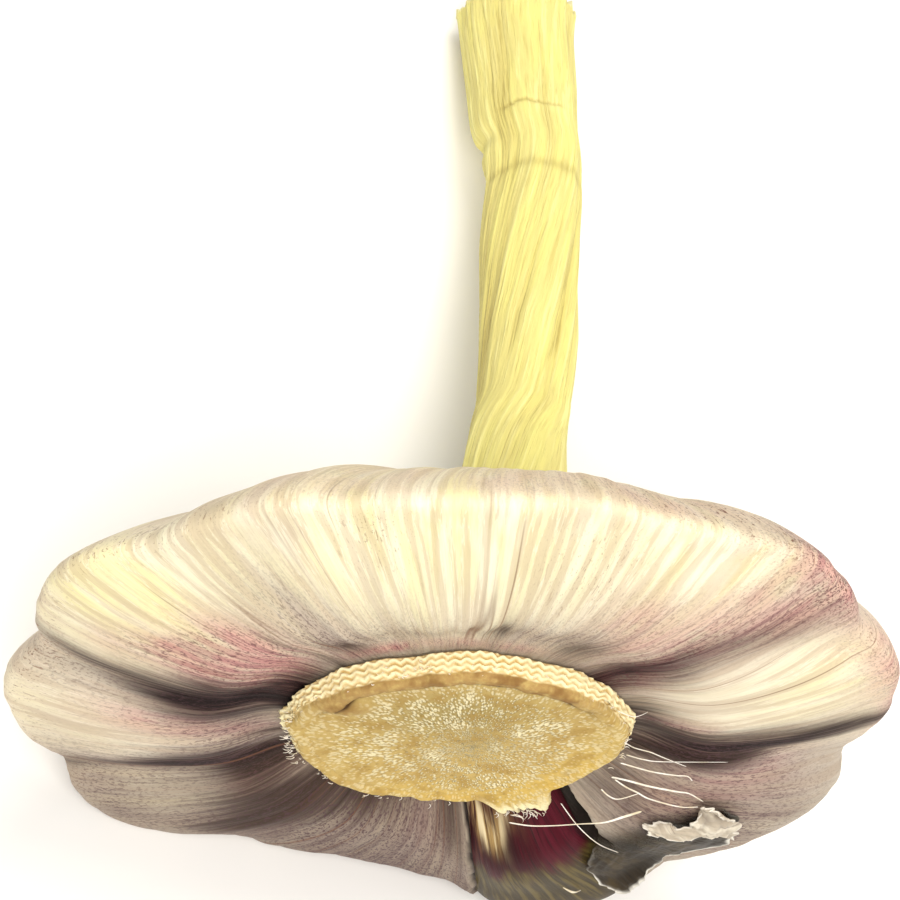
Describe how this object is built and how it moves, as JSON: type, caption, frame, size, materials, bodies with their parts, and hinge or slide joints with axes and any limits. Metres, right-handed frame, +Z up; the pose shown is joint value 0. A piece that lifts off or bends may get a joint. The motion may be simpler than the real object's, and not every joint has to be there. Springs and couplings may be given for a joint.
{
  "type": "garlic bulb",
  "caption": "Whole garlic bulb in papery skin with a trimmed root plate and a dry cut stem, lying on its side with a patch of torn skin.",
  "frame": {"origin": "middle of the bounding box on the surface that the bulb lies on", "axes": "+Z up as the bulb lies on its side, -Y the way the root plate faces, +Y the way the stem runs, +X to the right seen from the plate's side"},
  "size_m": [0.0608, 0.0794, 0.0504],
  "materials": {
    "papery_skin": "dry papery garlic skin with a faint silky sheen, cream with purple-pink streaks in the grooves",
    "root_plate": "matte, dry cork-like root tissue, golden tan",
    "dry_stem": "matte dried fibrous stem, pale straw yellow",
    "clove_skin": "smooth satin clove skin, burgundy by the plate and olive cream below",
    "torn_skin": "thin translucent dry skin, grey-beige with curled white edges"
  },
  "bodies": {
    "root": {"bulb": "papery_skin", "root_plate": "root_plate", "stem": "dry_stem", "bare_clove": "clove_skin", "torn_skin": "torn_skin", "torn_scrap": "torn_skin"}
  },
  "joints": []
}
